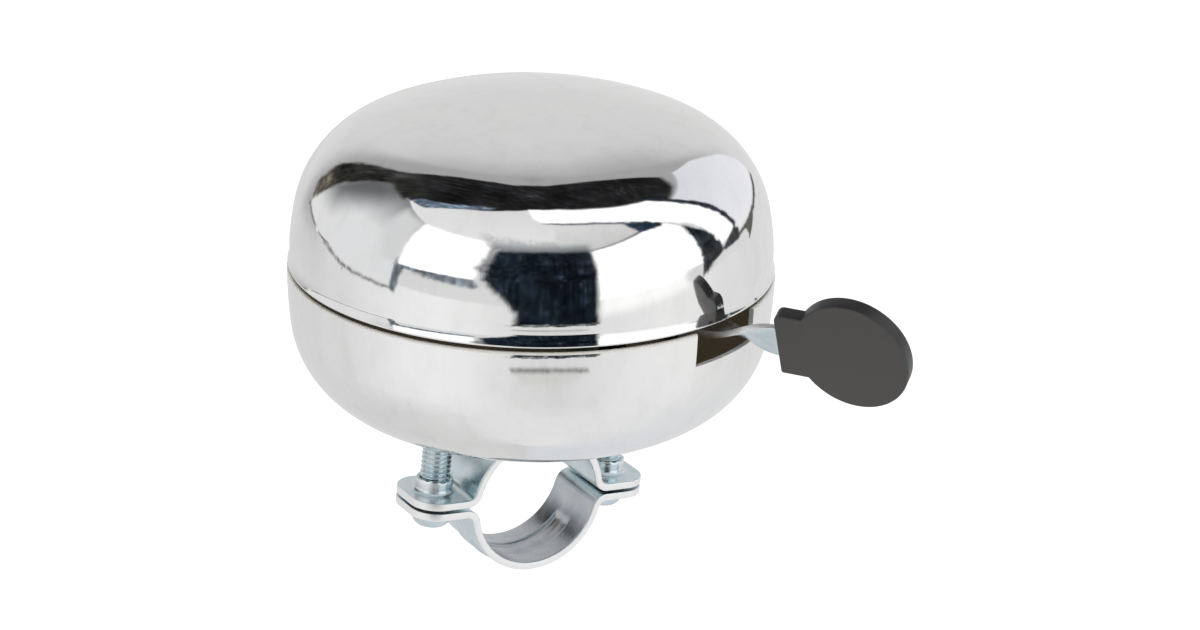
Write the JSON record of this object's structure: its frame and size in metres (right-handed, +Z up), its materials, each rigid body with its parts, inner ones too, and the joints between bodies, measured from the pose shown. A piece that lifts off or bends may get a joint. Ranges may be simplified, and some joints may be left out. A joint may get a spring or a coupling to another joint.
{
  "type": "bicycle bell",
  "caption": "Round bicycle bell: domed upper gong over a notched lower gong, a side thumb lever with an oval pad driving an inner striker, and a screwed strap clamp for the handlebar.",
  "frame": {"origin": "centre of the handlebar clamp bore, midway along its width", "axes": "+Y along the handlebar, +Z up, parallel to the axis of the gongs, which passes 1.2 mm to the +X side of the bar centre; +X across the bar towards the right clamp screw (the clamp itself sits turned 4.8 degrees about the bar)"},
  "size_m": [0.08, 0.0984, 0.0822],
  "materials": {
    "chrome_shell": "polished chrome plate",
    "zinc_plate": "bright blue-white zinc plating",
    "spring_steel": "plain spring steel",
    "brass_part": "turned brass",
    "black_rubber": "moulded rubber",
    "fibre": "red-brown vulcanised fibre",
    "grey_plastic": "satin dark grey moulding"
  },
  "bodies": {
    "base": {"clamp_saddle": "zinc_plate", "centre_post": "zinc_plate", "base_washer": "black_rubber", "lower_gong": "chrome_shell", "inner_washer": "fibre", "base_nut": "zinc_plate", "spacer_sleeve": "zinc_plate", "mechanism_plate": "zinc_plate", "lever_bushing": "brass_part", "lever_washer": "zinc_plate", "lever_nut": "zinc_plate", "upper_spacer": "zinc_plate", "top_washer": "black_rubber", "striker_spindle": "zinc_plate", "striker_clip": "spring_steel", "rest_stop_pin": "zinc_plate", "rest_bumper": "black_rubber", "press_stop_pin": "zinc_plate", "press_bumper": "black_rubber", "spring_anchor": "zinc_plate", "return_spring": "spring_steel"},
    "gong": {"upper_gong": "chrome_shell", "gong_boss": "zinc_plate"},
    "lever": {"thumb_lever": "zinc_plate", "thumb_pad": "grey_plastic", "spring_catch": "zinc_plate"},
    "striker": {"striker_pinion": "brass_part", "lower_arm": "spring_steel", "upper_arm": "spring_steel", "lower_hammer": "brass_part", "upper_hammer": "brass_part", "lower_hammer_rivet": "zinc_plate", "upper_hammer_rivet": "zinc_plate"},
    "strap": {"clamp_strap": "zinc_plate"},
    "left_screw": {"left_clamp_screw": "zinc_plate"},
    "right_screw": {"right_clamp_screw": "zinc_plate"}
  },
  "joints": [
    {"name": "lever_press", "type": "hinge", "parent": "base", "child": "lever", "pos_m": [0.0012, 0, 0.0368], "axis": [0, 0, 1], "range_deg": [-12, 0], "stiffness_Nm_per_rad": 0.04, "springref_deg": 28.65, "deforming": ["return_spring"]},
    {"name": "striker_swing", "type": "hinge", "parent": "base", "child": "striker", "pos_m": [-0.00898, 0.01721, 0.0368], "axis": [0, 0, 1], "range_deg": [0, 48]},
    {"name": "gong_lift", "type": "slide", "parent": "base", "child": "gong", "axis": [0, 0, 1], "range_m": [0, 0.045]},
    {"name": "strap_slide", "type": "slide", "parent": "base", "child": "strap", "axis": [-0.0837, 0, -0.9965], "range_m": [-0.00045, 0.008]},
    {"name": "left_screw_turn", "type": "hinge", "parent": "strap", "child": "left_screw", "pos_m": [-0.01654, 0, 0.00139], "axis": [0.0837, 0, 0.9965], "range_deg": [-3600, 202.5]},
    {"name": "right_screw_turn", "type": "hinge", "parent": "strap", "child": "right_screw", "pos_m": [0.01654, 0, -0.00139], "axis": [0.0837, 0, 0.9965], "range_deg": [-3600, 202.5]}
  ],
  "couplings": [
    {"joint": "striker_swing", "follows": "lever_press", "ratio": -4},
    {"joint": "left_screw_turn", "follows": "strap_slide", "rad_per_m": -7854},
    {"joint": "right_screw_turn", "follows": "strap_slide", "rad_per_m": -7854}
  ]
}
